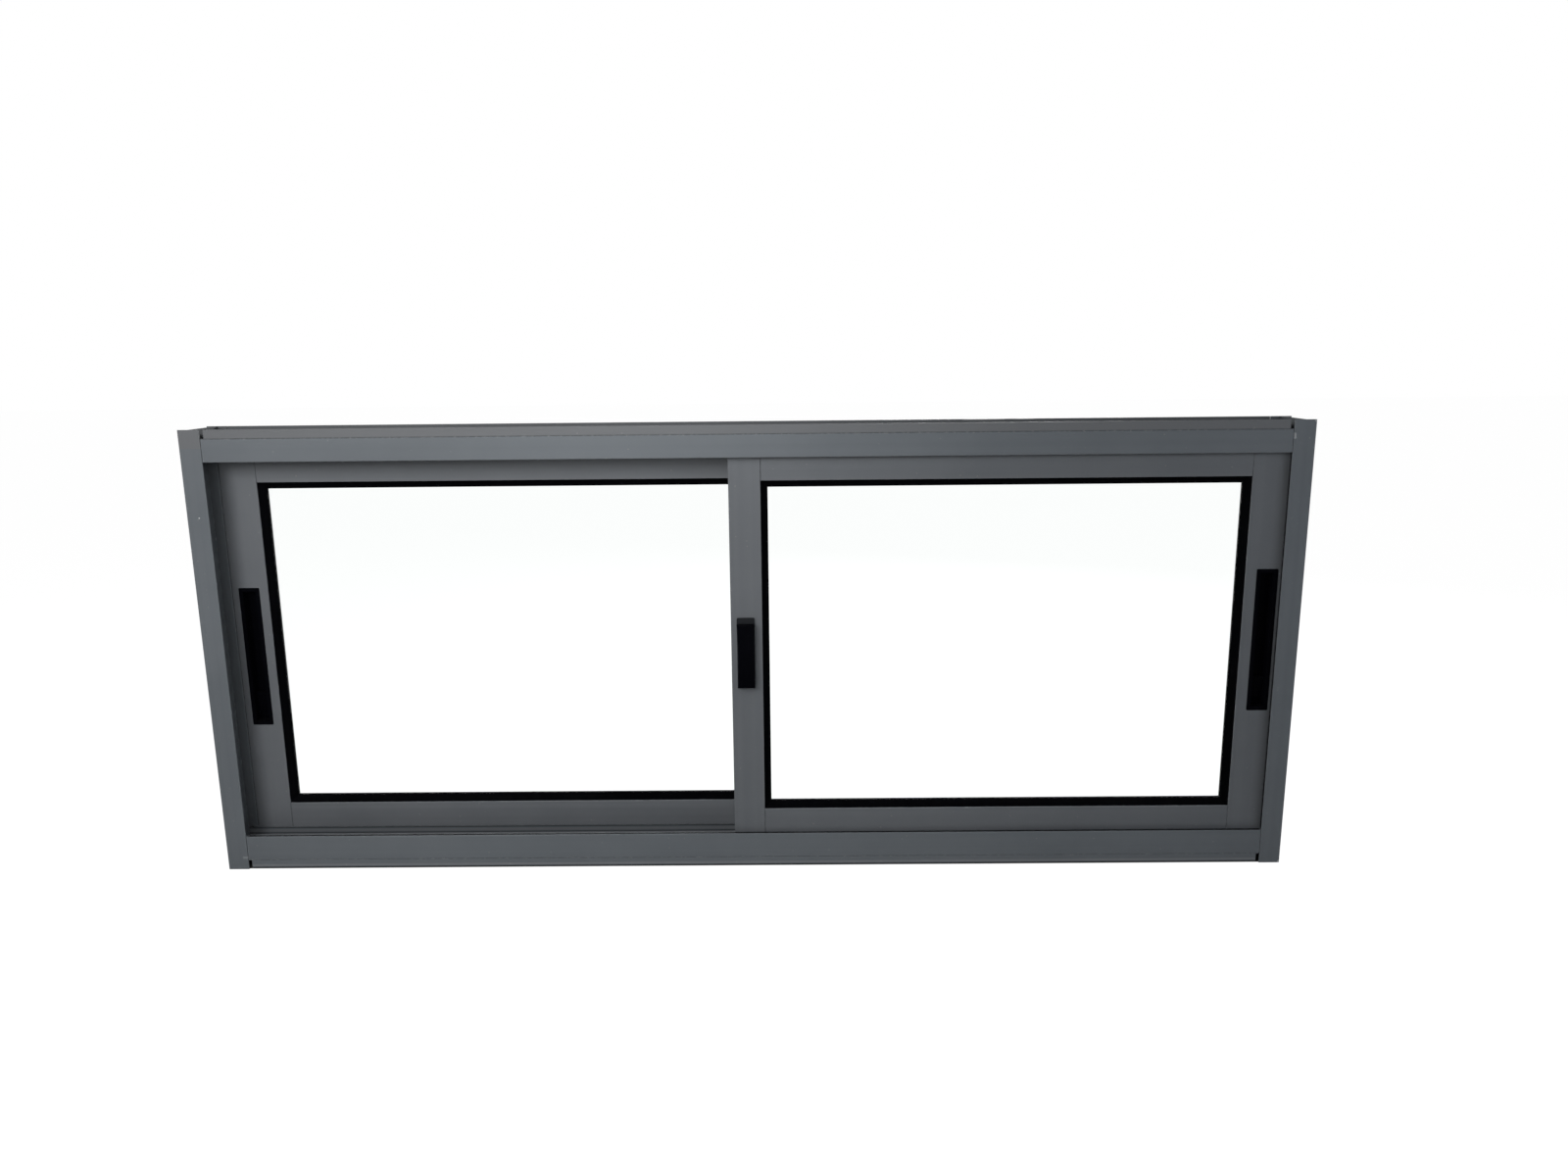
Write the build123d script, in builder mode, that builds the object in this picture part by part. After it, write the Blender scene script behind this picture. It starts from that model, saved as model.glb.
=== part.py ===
from build123d import *
import math
import os

# Aluminium sliding window: an extruded frame with two tracks and two glazed sashes, shown closed.
# Units are millimetres. X runs along the width, Y from the front face to the back, Z up.
# The origin is the middle of the footprint, level with the feet of the jambs. The front sash
# closes to the right and the rear sash to the left, and their meeting stiles overlap near the middle.

# Overall frame
frame_width = 1200.0
frame_height = 500.0
frame_depth = 63.0
frame_wall = 1.5
edge_radius = 0.4

# Faces of the frame members, seen from the front
jamb_face = 23.0
sill_face = 38.0
head_face = 34.5

# The jambs run this far past the sill's underside
jamb_foot = 1.5

# Outward channel of every frame member: the flanges stand this far past the web
outer_channel = 10.5
frame_joint_gap = 0.6
corner_notch_width = 3.5
corner_notch_height = 9.5
groove_width = 0.8
groove_depth = 0.5
groove_offset = 10.0

# Tracks
track_pitch = 27.0
track_fin_wall = 1.5
mid_fin_drop = 1.5
roller_rail_height = 20.9
rail_bead_radius = 1.5
guide_fin_length = 20.0

# Screw ports run the length of the head and the sill in the outward channel
port_bore = 3.4
port_wall = 1.4
port_spacing = 34.0
port_mouth = 2.2
assembly_hole = 4.5

# Sashes
sash_depth = 20.0
sash_wall = 1.4
sill_overlap = 10.5
head_overlap = 11.5
meeting_overlap = 41.0
lock_stile_width = 46.0
meeting_stile_width = 34.5
sash_rail_height = 37.0
pocket_depth = 10.0
track_notch_width = 7.0
track_notch_height = 13.0
joint_gap = 0.2
front_sash_closing_gap = 1.5
rear_sash_closing_gap = 3.5

# Interlock hooks on the meeting stiles
hook_wall = 1.3
hook_set_back = 11.5
hook_reach = 5.5
hook_return = 10.0

# Glazing
glass_thickness = 5.0
glass_bite = 7.0
gasket_leaf = 7.5
gasket_tip = 0.7
gasket_back = 1.6
gasket_clearance = 0.15

# Brush seals
seal_width = 5.0
seal_set_back = 0.8
seal_clearance = 0.2

# Rollers
wheel_radius = 8.5
wheel_width = 6.0
wheel_groove_depth = 1.6
wheel_end_offset = 60.0
wheel_clearance = 0.1
axle_radius = 2.0
axle_clearance = 0.2
axle_seat_wall = 2.8
carriage_length = 46.0
carriage_wall = 1.4
carriage_side_clearance = 0.4

# Slotted guides that run on the head's guide fins
guide_length = 30.0
guide_side_clearance = 0.2
guide_fin_clearance = 0.5
guide_tip_clearance = 1.5
guide_lead_in = 1.5

# Flush pulls on the lock stiles
pull_width = 23.0
pull_height = 160.0
front_pull_offset = 12.0
rear_pull_offset = 9.5
pull_body_depth = 12.0
pull_wall = 1.5
pull_rim = 2.6
pull_rim_height = 0.8
pull_rim_chamfer = 0.3
pull_corner = 1.2
pull_clearance = 0.25
pull_web_clearance = 1.0
front_pull_height = 259.0
rear_pull_height = 242.0

# Sliding trigger in the tray of each pull
trigger_height = 24.0
trigger_drop = 55.0
trigger_clearance = 0.4
trigger_ledge_depth = 5.0
trigger_ledge_height = 3.0
trigger_foot_depth = 2.2

# Latch on the front meeting stile
latch_width = 19.5
latch_height = 72.0
latch_proud = 8.0
latch_waist = 1.2
latch_centre_height = 247.0
latch_base_extra = 6.5
latch_base_thickness = 2.0
latch_corner = 1.6
latch_side_offset = 6.5

# Levels and places worked out from the sizes above
half_width = frame_width / 2
half_depth = frame_depth / 2
opening_half_width = half_width - jamb_face
web_outer = half_width - outer_channel
web_inner = web_outer - frame_wall
sill_lip = jamb_foot + sill_face
sill_web_under = jamb_foot + outer_channel
sill_web_top = sill_web_under + frame_wall
head_web_top = frame_height - outer_channel
head_web_under = head_web_top - frame_wall
head_lip = frame_height - head_face
front_track = -track_pitch / 2
rear_track = track_pitch / 2
port_radius = port_bore / 2 + port_wall
port_lift = port_radius - port_wall / 2
sash_bottom = sill_lip - sill_overlap
sash_top = head_lip + head_overlap
sash_height = sash_top - sash_bottom
channel_depth = sash_rail_height - pocket_depth - sash_wall
sash_width = (2 * web_inner - front_sash_closing_gap - rear_sash_closing_gap + meeting_overlap) / 2
front_sash_right = web_inner - front_sash_closing_gap
front_sash_left = front_sash_right - sash_width
rear_sash_left = -web_inner + rear_sash_closing_gap
rear_sash_right = rear_sash_left + sash_width
bead_centre = sill_web_top + roller_rail_height - rail_bead_radius
guide_fin_end = head_web_under - guide_fin_length
groove_slope = 2 * wheel_groove_depth / wheel_width
bead_to_groove = rail_bead_radius * math.hypot(1, groove_slope) + wheel_clearance
wheel_centre_height = bead_centre + bead_to_groove + wheel_radius - wheel_groove_depth

os.makedirs("parts", exist_ok=True)


def write(builder, label):
    """Labels a finished piece and writes it as one file."""
    builder.part.label = label
    export_step(builder.part, f"parts/{label}.step")


def bar(x_ends, y_ends):
    """A sharp rectangle given by its edges, for use inside a sketch."""
    with Locations((sum(x_ends) / 2, sum(y_ends) / 2)):
        Rectangle(abs(x_ends[1] - x_ends[0]), abs(y_ends[1] - y_ends[0]))


def rounded_bar(x_ends, y_ends):
    """A rectangle with the small radius that extruded walls have on their edges."""
    with Locations((sum(x_ends) / 2, sum(y_ends) / 2)):
        RectangleRounded(abs(x_ends[1] - x_ends[0]), abs(y_ends[1] - y_ends[0]), edge_radius)


def cut_bar(x_ends, y_ends):
    """A rectangle given by its edges and taken away from a sketch."""
    with Locations((sum(x_ends) / 2, sum(y_ends) / 2)):
        Rectangle(abs(x_ends[1] - x_ends[0]), abs(y_ends[1] - y_ends[0]), mode=Mode.SUBTRACT)


def across(x):
    """A plane at X = x whose sketch axes are Y and Z, with its normal along +X."""
    return Plane(origin=(x, 0, 0), x_dir=(0, 1, 0), z_dir=(1, 0, 0))


def facing_front(y, x=0, z=0):
    """A plane at Y = y whose sketch axes are X and Z, with its normal along -Y."""
    return Plane(origin=(x, y, z), x_dir=(1, 0, 0), z_dir=(0, -1, 0))


def screw_port(y, z, mouth_side):
    """A round screw port joined to the web, open on the side away from it."""
    with Locations((y, z)):
        Circle(port_radius)
    with Locations((y, z)):
        Circle(port_bore / 2, mode=Mode.SUBTRACT)
    with Locations((y, z + mouth_side * port_radius / 2)):
        Rectangle(port_mouth, port_radius, mode=Mode.SUBTRACT)


def frame_walls(z_low, z_high):
    """The front and rear walls of the head or sill."""
    for side in (-1, 1):
        rounded_bar((side * half_depth, side * (half_depth - frame_wall)), (z_low, z_high))


def face_grooves(z):
    """The fine line pressed into both faces of the head or sill."""
    for side in (-1, 1):
        with Locations((side * half_depth, z)):
            Rectangle(2 * groove_depth, groove_width, mode=Mode.SUBTRACT)


def cope_ends(z_ends, notch_ends):
    """Cuts both walls back to the jambs' faces, and notches the front wall's outer flange."""
    wall_end = opening_half_width - frame_joint_gap
    cope_length = web_inner - wall_end
    wall_middle = half_depth - frame_wall / 2
    for end in (-1, 1):
        for side in (-1, 1):
            with Locations((end * (web_inner - cope_length / 2), side * wall_middle, sum(z_ends) / 2)):
                Box(cope_length, frame_wall, z_ends[1] - z_ends[0], mode=Mode.SUBTRACT)
        with Locations((end * (wall_end - corner_notch_width / 2), -wall_middle, sum(notch_ends) / 2)):
            Box(corner_notch_width, frame_wall, corner_notch_height, mode=Mode.SUBTRACT)


def make_sill():
    """Sill: two lips, a middle fin, a beaded roller rail in each track and screw ports."""
    with BuildPart() as sill:
        with BuildSketch(across(-web_inner)):
            frame_walls(jamb_foot, sill_lip)
            bar((-half_depth + frame_wall, half_depth - frame_wall), (sill_web_under, sill_web_top))
            rounded_bar((-track_fin_wall / 2, track_fin_wall / 2), (sill_web_under, sill_lip - mid_fin_drop))
            for track in (front_track, rear_track):
                fin = (track - track_fin_wall / 2, track + track_fin_wall / 2)
                bar(fin, (sill_web_top, bead_centre))
                with Locations((track, bead_centre)):
                    Circle(rail_bead_radius)
            for side in (-1, 1):
                screw_port(side * port_spacing / 2, sill_web_under - port_lift, -1)
            face_grooves(jamb_foot + groove_offset)
        extrude(amount=2 * web_inner)
        cope_ends((jamb_foot, sill_lip), (jamb_foot, jamb_foot + corner_notch_height))
    write(sill, "sill")


def make_head():
    """Head: two lips, a middle fin, a guide fin over each track and screw ports."""
    with BuildPart() as head:
        with BuildSketch(across(-web_inner)):
            frame_walls(head_lip, frame_height)
            bar((-half_depth + frame_wall, half_depth - frame_wall), (head_web_under, head_web_top))
            rounded_bar((-track_fin_wall / 2, track_fin_wall / 2), (head_lip + mid_fin_drop, head_web_top))
            for track in (front_track, rear_track):
                fin = (track - track_fin_wall / 2, track + track_fin_wall / 2)
                rounded_bar(fin, (guide_fin_end, head_web_top))
            for side in (-1, 1):
                screw_port(side * port_spacing / 2, head_web_top + port_lift, 1)
            face_grooves(frame_height - groove_offset)
        extrude(amount=2 * web_inner)
        cope_ends((head_lip, frame_height), (frame_height - corner_notch_height, frame_height))
    write(head, "head")


def make_jamb(label, end):
    """Jamb: a web with two faces and a middle fin that stops at the head and the sill."""
    hole_heights = (sill_web_under - port_lift, head_web_top + port_lift)
    with BuildPart() as jamb:
        with BuildSketch(Plane.XY):
            for side in (-1, 1):
                wall = (side * half_depth, side * (half_depth - frame_wall))
                rounded_bar((end * half_width, end * opening_half_width), wall)
            bar((end * web_outer, end * web_inner), (-half_depth + frame_wall, half_depth - frame_wall))
        extrude(amount=frame_height)
        with BuildSketch(Plane.XY.offset(sill_lip)):
            fin = (-track_fin_wall / 2, track_fin_wall / 2)
            rounded_bar((end * web_outer, end * opening_half_width), fin)
        extrude(amount=head_lip - sill_lip)
        with BuildSketch(across(end * (web_inner + web_outer) / 2)):
            with Locations(*[(side * port_spacing / 2, z) for side in (-1, 1) for z in hole_heights]):
                Circle(assembly_hole / 2)
        extrude(amount=frame_wall, both=True, mode=Mode.SUBTRACT)
    write(jamb, label)


def make_frame_seals():
    """Brush seals behind the front lips and behind the middle fins."""
    front_gap = (-half_depth + frame_wall, front_track - sash_depth / 2 - seal_clearance)
    middle_gap = (track_fin_wall / 2, rear_track - sash_depth / 2 - seal_clearance)
    sill_seal_top = sill_lip - seal_set_back
    head_seal_top = head_lip + seal_set_back + seal_width
    rows = (
        ("sill_front_seal", front_gap, sill_seal_top),
        ("sill_middle_seal", middle_gap, sill_seal_top - mid_fin_drop),
        ("head_front_seal", front_gap, head_seal_top),
        ("head_middle_seal", middle_gap, head_seal_top + mid_fin_drop),
    )
    for label, y_ends, z_high in rows:
        with BuildPart() as seal:
            with BuildSketch(across(-opening_half_width)):
                bar(y_ends, (z_high - seal_width, z_high))
            extrude(amount=2 * opening_half_width)
        write(seal, label)
    for label, end, y_ends in (("right_jamb_seal", 1, front_gap), ("left_jamb_seal", -1, middle_gap)):
        tip = opening_half_width + seal_set_back
        with BuildPart() as seal:
            with BuildSketch(Plane.XY.offset(sill_lip)):
                bar((end * tip, end * (tip + seal_width)), y_ends)
            extrude(amount=head_lip - sill_lip)
        write(seal, label)


def track_notches(x_middle, track, width):
    """Cuts the slots that let a stile pass over its roller rail and its guide fin."""
    for z in (sash_bottom + track_notch_height / 2, sash_top - track_notch_height / 2):
        with Locations((x_middle, track, z)):
            Box(width, track_notch_width, track_notch_height, mode=Mode.SUBTRACT)


def stile_profile(x_free, x_glass, track):
    """Hollow stile section: a tube towards x_free and two glazing lips towards x_glass."""
    inward = 1 if x_glass > x_free else -1
    tube_side = x_glass - inward * pocket_depth
    faces = (track - sash_depth / 2, track + sash_depth / 2)
    inside = (faces[0] + sash_wall, faces[1] - sash_wall)
    rounded_bar((x_free, x_glass), faces)
    cut_bar((x_free + inward * sash_wall, tube_side - inward * sash_wall), inside)
    cut_bar((tube_side, x_glass), inside)


def make_lock_stile(name, x_free, inward, track, pull_x, pull_z):
    """Lock stile with its track slots, an inner web and the slot that takes the flush pull."""
    x_glass = x_free + inward * lock_stile_width
    slot_width = pull_width - 2 * pull_rim + 2 * pull_clearance
    slot_height = pull_height - 2 * pull_rim + 2 * pull_clearance
    web_x = pull_x - inward * (slot_width / 2 + pull_web_clearance)
    with BuildPart() as stile:
        with BuildSketch(Plane.XY.offset(sash_bottom)):
            stile_profile(x_free, x_glass, track)
            bar((web_x, web_x - inward * sash_wall), (track - sash_depth / 2, track + sash_depth / 2))
        extrude(amount=sash_height)
        track_notches((x_free + x_glass) / 2, track, lock_stile_width)
        with BuildSketch(facing_front(track - sash_depth / 2 + sash_wall, pull_x, pull_z)):
            Rectangle(slot_width, slot_height)
        extrude(amount=sash_wall, mode=Mode.SUBTRACT)
    write(stile, f"{name}_lock_stile")


def make_meeting_stile(name, x_free, inward, track, other_side):
    """Meeting stile with an interlock hook on the side of the other sash."""
    x_glass = x_free + inward * meeting_stile_width
    face = track + other_side * sash_depth / 2
    hook_face = face + other_side * hook_reach
    leg_x = x_free + inward * hook_set_back
    with BuildPart() as stile:
        with BuildSketch(Plane.XY.offset(sash_bottom)):
            stile_profile(x_free, x_glass, track)
        extrude(amount=sash_height)
        track_notches((x_free + x_glass) / 2, track, meeting_stile_width)
        with BuildSketch(Plane.XY.offset(sill_lip + seal_clearance)):
            bar((leg_x, leg_x + inward * hook_wall), (face, hook_face))
            bar((leg_x, leg_x + inward * hook_return), (hook_face, hook_face - other_side * hook_wall))
        extrude(amount=head_lip - sill_lip - 2 * seal_clearance)
    write(stile, f"{name}_meeting_stile")


def make_sash_rail(label, x_ends, track, glass_side, outer_z):
    """Sash rail: the channel over the track is open at outer_z, the glazing pocket on the other side."""
    inner_z = outer_z + glass_side * sash_rail_height
    faces = (track - sash_depth / 2, track + sash_depth / 2)
    inside = (faces[0] + sash_wall, faces[1] - sash_wall)
    with BuildPart() as rail:
        with BuildSketch(across(x_ends[0] + joint_gap)):
            rounded_bar(faces, (outer_z, inner_z))
            cut_bar(inside, (inner_z, inner_z - glass_side * pocket_depth))
            cut_bar(inside, (outer_z, outer_z + glass_side * channel_depth))
        extrude(amount=x_ends[1] - x_ends[0] - 2 * joint_gap)
    write(rail, label)


def make_glazing(name, x_ends, track):
    """The pane and the gasket that holds it, with a wedge-shaped leaf on each face."""
    z_ends = (sash_bottom + sash_rail_height, sash_top - sash_rail_height)
    middle = (sum(x_ends) / 2, sum(z_ends) / 2)
    width = x_ends[1] - x_ends[0]
    height = z_ends[1] - z_ends[0]
    gasket_half = sash_depth / 2 - sash_wall - gasket_clearance
    gasket_reach = glass_bite + gasket_back
    wedge_depth = gasket_half - glass_thickness / 2 - gasket_tip
    wedge_angle = math.degrees(math.atan2(gasket_leaf, wedge_depth))
    with BuildPart() as glass:
        with BuildSketch(facing_front(track + glass_thickness / 2)):
            with Locations(middle):
                Rectangle(width + 2 * glass_bite, height + 2 * glass_bite)
        extrude(amount=glass_thickness)
    write(glass, f"{name}_glass")
    with BuildPart() as gasket:
        with BuildSketch(facing_front(track + gasket_half)):
            with Locations(middle):
                Rectangle(width + 2 * gasket_reach, height + 2 * gasket_reach)
                Rectangle(width - 2 * gasket_leaf, height - 2 * gasket_leaf, mode=Mode.SUBTRACT)
        extrude(amount=2 * gasket_half)
        with BuildSketch(facing_front(track + glass_thickness / 2)):
            with Locations(middle):
                Rectangle(width + 2 * glass_bite, height + 2 * glass_bite)
        extrude(amount=glass_thickness, mode=Mode.SUBTRACT)
        for side in (-1, 1):
            mouth = Plane(origin=(middle[0], track + side * gasket_half, middle[1]),
                          x_dir=(-side, 0, 0), z_dir=(0, -side, 0))
            with BuildSketch(mouth):
                Rectangle(width, height)
            extrude(amount=wedge_depth, taper=wedge_angle, mode=Mode.SUBTRACT)
    write(gasket, f"{name}_gasket")


def make_roller(name, place, x, track):
    """A roller carriage under the web of the bottom rail, and its grooved wheel."""
    channel_top = sash_bottom + channel_depth
    carriage_half = sash_depth / 2 - sash_wall - carriage_side_clearance
    cheek_low = wheel_centre_height - axle_radius - axle_seat_wall
    with BuildPart() as carriage:
        with BuildSketch(across(x - carriage_length / 2)):
            bar((track - carriage_half, track + carriage_half), (cheek_low, channel_top))
            cut_bar((track - carriage_half + carriage_wall, track + carriage_half - carriage_wall),
                    (cheek_low, channel_top - carriage_wall))
        extrude(amount=carriage_length)
        with BuildSketch(facing_front(track + carriage_half)):
            with Locations((x, wheel_centre_height)):
                Circle(axle_radius)
        extrude(amount=2 * carriage_half)
    write(carriage, f"{name}_roller_carriage_{place}")
    bore = axle_radius + axle_clearance
    with BuildPart() as wheel:
        with BuildSketch(Plane(origin=(x, track, wheel_centre_height), x_dir=(0, 1, 0), z_dir=(1, 0, 0))):
            with BuildLine():
                Polyline(
                    (-wheel_width / 2, bore),
                    (wheel_width / 2, bore),
                    (wheel_width / 2, wheel_radius),
                    (0, wheel_radius - wheel_groove_depth),
                    (-wheel_width / 2, wheel_radius),
                    close=True,
                )
            make_face()
        revolve(axis=Axis((x, track, wheel_centre_height), (0, 1, 0)))
    write(wheel, f"{name}_roller_wheel_{place}")


def make_top_guide(name, place, x, track):
    """A block in the top rail's channel, slotted for the head's guide fin."""
    guide_half = sash_depth / 2 - sash_wall - guide_side_clearance
    slot_half = track_fin_wall / 2 + guide_fin_clearance
    slot_floor = guide_fin_end - guide_tip_clearance
    with BuildPart() as guide:
        with BuildSketch(across(x - guide_length / 2)):
            bar((track - guide_half, track + guide_half), (sash_top - channel_depth, sash_top))
            cut_bar((track - slot_half, track + slot_half), (slot_floor, sash_top))
        extrude(amount=guide_length)
        mouth_edges = guide.edges().filter_by(Axis.X).group_by(Axis.Z)[-1].sort_by(Axis.Y)[1:-1]
        chamfer(mouth_edges, length=guide_lead_in)
    write(guide, f"{name}_top_guide_{place}")


def make_pull(name, track, x, centre):
    """Flush pull: a thin rim on the stile's face round a finger tray, with a sliding trigger."""
    face = track - sash_depth / 2
    tray_floor = face + pull_body_depth - pull_wall
    body_width = pull_width - 2 * pull_rim
    body_height = pull_height - 2 * pull_rim
    tray_width = body_width - 2 * pull_wall
    tray_height = body_height - 2 * pull_wall
    with BuildPart() as pull:
        with BuildSketch(facing_front(face, x, centre)):
            RectangleRounded(pull_width, pull_height, pull_corner)
        extrude(amount=pull_rim_height)
        chamfer(pull.faces().sort_by(Axis.Y)[0].edges(), length=pull_rim_chamfer)
        with BuildSketch(facing_front(face + pull_body_depth, x, centre)):
            Rectangle(body_width, body_height)
        extrude(amount=pull_body_depth)
        with BuildSketch(facing_front(tray_floor, x, centre)):
            Rectangle(tray_width, tray_height)
        extrude(amount=pull_body_depth - pull_wall + pull_rim_height, mode=Mode.SUBTRACT)
    write(pull, f"{name}_pull")
    trigger_width = tray_width - 2 * trigger_clearance
    top = centre - trigger_drop + trigger_height / 2
    with BuildPart() as trigger:
        with BuildSketch(across(x - trigger_width / 2)):
            with BuildLine():
                Polyline(
                    (tray_floor, top),
                    (tray_floor - trigger_ledge_depth, top),
                    (tray_floor - trigger_ledge_depth, top - trigger_ledge_height),
                    (tray_floor - trigger_foot_depth, top - trigger_height),
                    (tray_floor, top - trigger_height),
                    close=True,
                )
            make_face()
        extrude(amount=trigger_width)
    write(trigger, f"{name}_latch_trigger")


def make_latch():
    """Latch on the front meeting stile: a base plate and a waisted lever block."""
    face = front_track - sash_depth / 2
    x = front_sash_left + latch_side_offset + latch_width / 2
    with BuildPart() as base:
        with BuildSketch(facing_front(face, x, latch_centre_height + latch_base_extra / 2)):
            RectangleRounded(latch_width, latch_height + latch_base_extra, latch_corner)
        extrude(amount=latch_base_thickness)
    write(base, "latch_base")
    half = latch_width / 2
    tall = latch_height / 2
    with BuildPart() as lever:
        with BuildSketch(facing_front(face - latch_base_thickness, x, latch_centre_height)):
            with BuildLine():
                Polyline((-half, tall), (half, tall), (half, -tall), (-half, -tall))
                ThreePointArc((-half, -tall), (-half + latch_waist, 0), (-half, tall))
            make_face()
        extrude(amount=latch_proud - latch_base_thickness)
        fillet(lever.faces().sort_by(Axis.Y)[0].edges(), radius=latch_corner)
    write(lever, "latch_lever")


def make_sash(name, lock_edge, inward, meeting_edge, track, other_side, pull_offset, pull_z):
    """One sash: stiles, rails, glazing, rollers, guides and pull. It closes towards lock_edge."""
    lock_glass_edge = lock_edge + inward * lock_stile_width
    pull_x = lock_glass_edge - inward * (pull_offset + pull_width / 2)
    meeting_glass_edge = meeting_edge - inward * meeting_stile_width
    glass_ends = sorted((lock_glass_edge, meeting_glass_edge))
    make_lock_stile(name, lock_edge, inward, track, pull_x, pull_z)
    make_meeting_stile(name, meeting_edge, -inward, track, other_side)
    make_sash_rail(f"{name}_top_rail", glass_ends, track, -1, sash_top)
    make_sash_rail(f"{name}_bottom_rail", glass_ends, track, 1, sash_bottom)
    make_glazing(name, glass_ends, track)
    carrier_spots = (("left", glass_ends[0] + wheel_end_offset), ("right", glass_ends[1] - wheel_end_offset))
    for place, x in carrier_spots:
        make_roller(name, place, x, track)
        make_top_guide(name, place, x, track)
    make_pull(name, track, pull_x, pull_z)


make_sill()
make_head()
make_jamb("left_jamb", -1)
make_jamb("right_jamb", 1)
make_frame_seals()
make_sash("front_sash", front_sash_right, -1, front_sash_left, front_track, 1,
          front_pull_offset, front_pull_height)
make_sash("rear_sash", rear_sash_left, 1, rear_sash_right, rear_track, -1,
          rear_pull_offset, rear_pull_height)
make_latch()
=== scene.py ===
import logging
import math
from dataclasses import dataclass
from enum import Enum
from typing import Any, Iterable

import bmesh
import bpy
from mathutils import Matrix, Vector, noise

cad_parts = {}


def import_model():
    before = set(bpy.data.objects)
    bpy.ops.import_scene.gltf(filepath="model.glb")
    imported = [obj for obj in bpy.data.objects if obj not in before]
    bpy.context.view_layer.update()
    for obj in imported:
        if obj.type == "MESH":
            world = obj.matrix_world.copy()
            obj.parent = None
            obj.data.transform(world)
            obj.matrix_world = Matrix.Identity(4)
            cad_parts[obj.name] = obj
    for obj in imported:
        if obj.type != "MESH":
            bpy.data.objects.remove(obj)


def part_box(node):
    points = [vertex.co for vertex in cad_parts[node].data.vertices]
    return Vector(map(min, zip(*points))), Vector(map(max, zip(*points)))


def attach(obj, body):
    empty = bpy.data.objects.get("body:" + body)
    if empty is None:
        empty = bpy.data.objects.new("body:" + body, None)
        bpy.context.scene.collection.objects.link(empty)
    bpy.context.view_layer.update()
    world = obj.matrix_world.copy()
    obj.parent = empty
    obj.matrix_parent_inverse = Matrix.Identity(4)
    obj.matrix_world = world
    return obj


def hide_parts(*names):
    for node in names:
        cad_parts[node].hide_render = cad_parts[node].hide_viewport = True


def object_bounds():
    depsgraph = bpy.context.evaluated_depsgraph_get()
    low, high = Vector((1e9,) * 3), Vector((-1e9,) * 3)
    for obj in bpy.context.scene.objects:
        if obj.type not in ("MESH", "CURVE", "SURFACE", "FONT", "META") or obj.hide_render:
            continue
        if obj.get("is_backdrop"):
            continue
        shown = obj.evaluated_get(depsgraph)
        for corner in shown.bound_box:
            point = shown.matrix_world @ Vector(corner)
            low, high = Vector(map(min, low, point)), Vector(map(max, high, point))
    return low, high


BODY = "root"
MM = 0.001

Pair = tuple[float, float]
Triple = tuple[float, float, float]
Colour = Triple
Socket = bpy.types.NodeSocket

# The values between which most of a noise lies
NOISE_SPAN: Pair = (0.3, 0.7)

# The tones of the dark and of the bright lines along the profiles: painted shade, also used for the dark
# seams at the rails' ends, and a painted highlight
PAINTED_SHADE_AND_SEAM: Colour = (0.016, 0.018, 0.020)
PAINTED_HIGHLIGHT: Colour = (0.19, 0.195, 0.205)

log = logging.getLogger("sliding_window")


class Draw(Enum):
    """The direction in which a profile was drawn, as the stretch of its faint draw lines."""

    ALONG_X = (1.5, 520.0, 520.0)
    ALONG_Z = (520.0, 520.0, 1.5)


class Side(Enum):
    """The end of the window that a piece belongs to, as its sign along X."""

    LEFT = -1
    RIGHT = 1


# Shader nodes


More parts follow.
